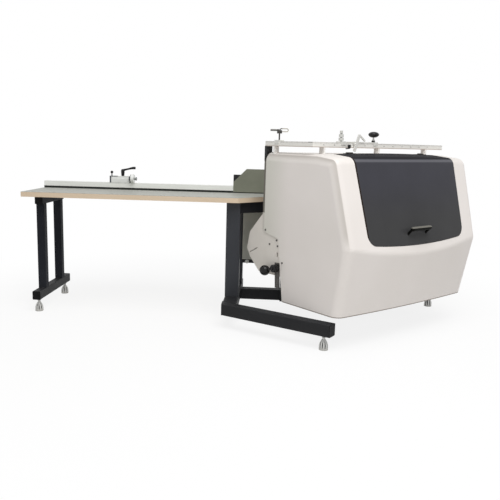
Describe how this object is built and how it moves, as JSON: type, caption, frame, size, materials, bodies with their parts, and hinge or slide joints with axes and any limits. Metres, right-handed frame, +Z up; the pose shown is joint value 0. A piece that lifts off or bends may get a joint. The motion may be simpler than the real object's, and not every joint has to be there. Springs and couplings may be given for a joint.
{
  "type": "tenoning machine",
  "caption": "Floor-standing tenoning machine with a long fenced side table and a hooded cutting head that swivels on a column, with a lifting flap and adjustable stops.",
  "frame": {"origin": "on the floor, in the middle of the footprint", "axes": "+X along the fence to the right, +Y away from the operator, +Z up"},
  "size_m": [3.2756, 1.5141, 1.3832],
  "materials": {
    "plywood": "clear lacquer over plies",
    "laminate": "fine matt",
    "fence_aluminium": "anodised",
    "stop_aluminium": "anodised",
    "olive_paint": "satin powder coat",
    "cabinet_olive": "moulded satin",
    "black_paint": "satin",
    "frame_paint": "satin powder coat",
    "black_plastic": "moulded",
    "foot_metal": "cast",
    "bright_steel": "turned and ground",
    "hood_shell_white": "moulded satin",
    "head_paint": "satin",
    "edge_rubber": "matt",
    "machined_iron": "milled",
    "duct_steel": "galvanised",
    "rail_pale": "anodised",
    "tee_metal": "blackened",
    "smoked_flap": "smoked and glossy",
    "motor_paint": "satin",
    "cutter_steel": "ground"
  },
  "bodies": {
    "frame": {"table_board": "plywood", "table_laminate": "laminate", "fence_profile": "fence_aluminium", "guard_plate": "olive_paint", "guard_bracket": "black_paint", "left_base_bar": "frame_paint", "left_front_upright": "frame_paint", "left_rear_upright": "frame_paint", "left_top_bar": "frame_paint", "right_base_bar": "frame_paint", "right_front_upright": "frame_paint", "right_rear_upright": "frame_paint", "front_leg_bar": "frame_paint", "rear_leg_bar": "frame_paint", "far_leg_bar": "frame_paint", "table_rail": "frame_paint", "tube_caps": "black_plastic", "bell_feet": "foot_metal", "foot_studs": "bright_steel", "swivel_column": "black_paint", "thrust_ring": "bright_steel", "control_cabinet": "cabinet_olive", "cabinet_bracket": "black_paint"},
    "table_stop": {"stop_carriage": "stop_aluminium"},
    "table_stop_lever": {"stop_lever": "black_plastic"},
    "table_stop_pin": {"stop_pin": "bright_steel"},
    "table_stop_disc": {"stop_disc": "stop_aluminium"},
    "head": {"swivel_sleeve": "black_paint", "rear_wall": "head_paint", "left_cheek": "head_paint", "right_cheek": "head_paint", "bed_plate": "machined_iron", "rear_seal": "edge_rubber", "dust_spigot": "duct_steel", "hood_shell": "hood_shell_white", "panel_screws": "bright_steel", "clamp_plate": "black_paint", "side_rail": "rail_pale", "front_rail": "rail_pale", "rail_supports": "rail_pale", "hinge_fixed": "black_paint", "cross_rods": "bright_steel"},
    "clamp": {"clamp_lever": "black_plastic"},
    "tee_slider": {"tee_block": "rail_pale"},
    "tee_screw": {"tee_handle": "tee_metal"},
    "width_stop": {"width_stop": "bright_steel"},
    "prop": {"stop_prop": "rail_pale"},
    "turret": {"stop_turret": "bright_steel"},
    "knob": {"stop_knob": "black_plastic"},
    "flap": {"flap_panel": "smoked_flap", "flap_handle": "black_plastic", "hinge_moving": "black_paint"},
    "cross_drive": {"cross_screw": "bright_steel"},
    "saddle": {"saddle": "machined_iron", "lift_frame": "machined_iron"},
    "lift_drive": {"lift_screw": "bright_steel"},
    "lift": {"motor_carrier": "machined_iron", "motor_body": "motor_paint"},
    "cutter": {"spindle": "bright_steel", "cutter_head": "cutter_steel"}
  },
  "joints": [
    {"name": "head_swivel", "type": "hinge", "parent": "frame", "child": "head", "pos_m": [0.31321, 0.21002, 0.2051], "axis": [0, 0, 1], "range_deg": [-2, 48]},
    {"name": "flap_hinge", "type": "hinge", "parent": "head", "child": "flap", "pos_m": [0.92497, -0.0943, 1.23233], "axis": [-0.7431, -0.6691, 0], "range_deg": [0, 80]},
    {"name": "clamp_turn", "type": "hinge", "parent": "head", "child": "clamp", "pos_m": [0.21298, -0.31083, 0.444], "axis": [0.7431, 0.6691, 0], "range_deg": [-35, 35]},
    {"name": "tee_slide", "type": "slide", "parent": "head", "child": "tee_slider", "axis": [0.6691, -0.7431, 0], "range_m": [-0.06, 0.25]},
    {"name": "tee_turn", "type": "hinge", "parent": "tee_slider", "child": "tee_screw", "pos_m": [0.19817, -0.22862, 1.3051], "axis": [0, 0, 1], "range_deg": [-90, 90]},
    {"name": "width_stop_slide", "type": "slide", "parent": "head", "child": "width_stop", "axis": [0.7431, 0.6691, 0], "range_m": [-0.2, 0.74]},
    {"name": "prop_tilt", "type": "hinge", "parent": "width_stop", "child": "prop", "pos_m": [0.69208, -0.20778, 1.285], "axis": [0.6691, -0.7431, 0], "range_deg": [-25, 45]},
    {"name": "turret_turn", "type": "hinge", "parent": "width_stop", "child": "turret", "pos_m": [0.60365, -0.2874, 1.3051], "axis": [0, 0, 1], "continuous": true},
    {"name": "knob_turn", "type": "hinge", "parent": "width_stop", "child": "knob", "pos_m": [0.84517, -0.06994, 1.3051], "axis": [0, 0, 1], "range_deg": [-180, 180]},
    {"name": "cross_slide", "type": "slide", "parent": "head", "child": "saddle", "axis": [0.7431, 0.6691, 0], "range_m": [-0.75, 0.12]},
    {"name": "cross_screw_turn", "type": "hinge", "parent": "head", "child": "cross_drive", "pos_m": [0.84702, -0.00772, 0.33], "axis": [0.7431, 0.6691, 0], "range_deg": [-10805, 1733]},
    {"name": "lift_slide", "type": "slide", "parent": "saddle", "child": "lift", "axis": [0, 0, 1], "range_m": [-0.14, 0.1]},
    {"name": "lift_screw_turn", "type": "hinge", "parent": "saddle", "child": "lift_drive", "pos_m": [1.13214, 0.33916, 0.36], "axis": [0, 0, 1], "range_deg": [-5046, 3605]},
    {"name": "cutter_spin", "type": "hinge", "parent": "lift", "child": "cutter", "pos_m": [0.93204, 0.38505, 0.96], "axis": [0.6691, -0.7431, 0], "continuous": true},
    {"name": "table_stop_slide", "type": "slide", "parent": "frame", "child": "table_stop", "axis": [1, 0, 0], "range_m": [-0.5, 0.7]},
    {"name": "table_stop_lever_turn", "type": "hinge", "parent": "table_stop", "child": "table_stop_lever", "pos_m": [-1.01179, 0.32202, 1.0051], "axis": [0, 0, 1], "range_deg": [-75, 75]},
    {"name": "table_stop_pin_pull", "type": "slide", "parent": "table_stop", "child": "table_stop_pin", "axis": [0, 0, 1], "range_m": [0, 0.008], "stiffness_N_per_m": 400, "springref_m": -0.008},
    {"name": "table_stop_disc_turn", "type": "hinge", "parent": "table_stop", "child": "table_stop_disc", "pos_m": [-0.94279, 0.29202, 0.9871], "axis": [1, 0, 0], "continuous": true}
  ],
  "couplings": [
    {"joint": "cross_screw_turn", "follows": "cross_slide", "rad_per_m": 251.33},
    {"joint": "lift_screw_turn", "follows": "lift_slide", "rad_per_m": 628.32}
  ]
}
